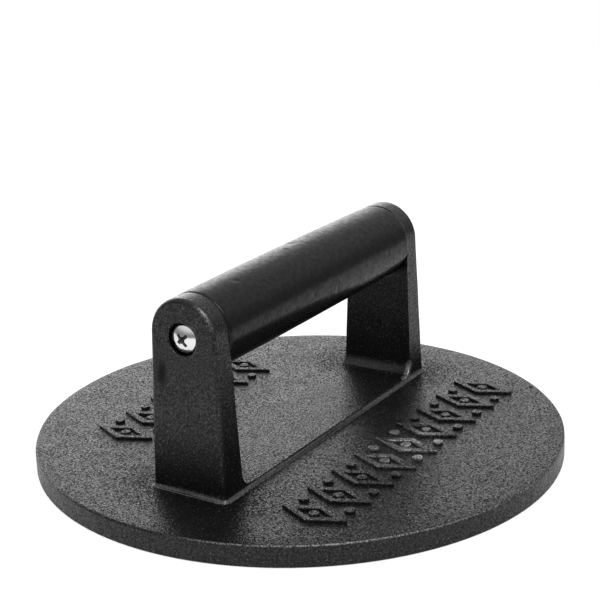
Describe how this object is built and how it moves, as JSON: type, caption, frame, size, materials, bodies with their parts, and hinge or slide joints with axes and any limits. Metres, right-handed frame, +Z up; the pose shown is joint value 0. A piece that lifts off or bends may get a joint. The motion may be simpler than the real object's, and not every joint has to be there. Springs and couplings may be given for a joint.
{
  "type": "burger press",
  "caption": "Round flat cast iron burger press with two uprights, a free-turning cylindrical grip on a core rod, and sunk cross-recess screws at its ends.",
  "frame": {"origin": "centre of the plate's underside, on the work surface", "axes": "+Z up; X along the grip's axis, with the left upright at -X and the right one at +X; +Y towards the shorter ornament row"},
  "size_m": [0.18, 0.18, 0.071],
  "materials": {
    "coated_iron": "black satin coating over sand-cast grain",
    "grip_plastic": "smooth satin moulding",
    "bush_plastic": "natural moulding",
    "rod_steel": "drawn bar",
    "screw_plate": "bright nickel plate"
  },
  "bodies": {
    "press": {"press_casting": "coated_iron", "core_rod": "rod_steel", "left_screw": "screw_plate", "right_screw": "screw_plate"},
    "grip": {"grip_sleeve": "grip_plastic", "left_bush": "bush_plastic", "right_bush": "bush_plastic"}
  },
  "joints": [
    {"name": "grip_turn", "type": "hinge", "parent": "press", "child": "grip", "pos_m": [0, 0, 0.0582], "axis": [1, 0, 0], "continuous": true}
  ]
}
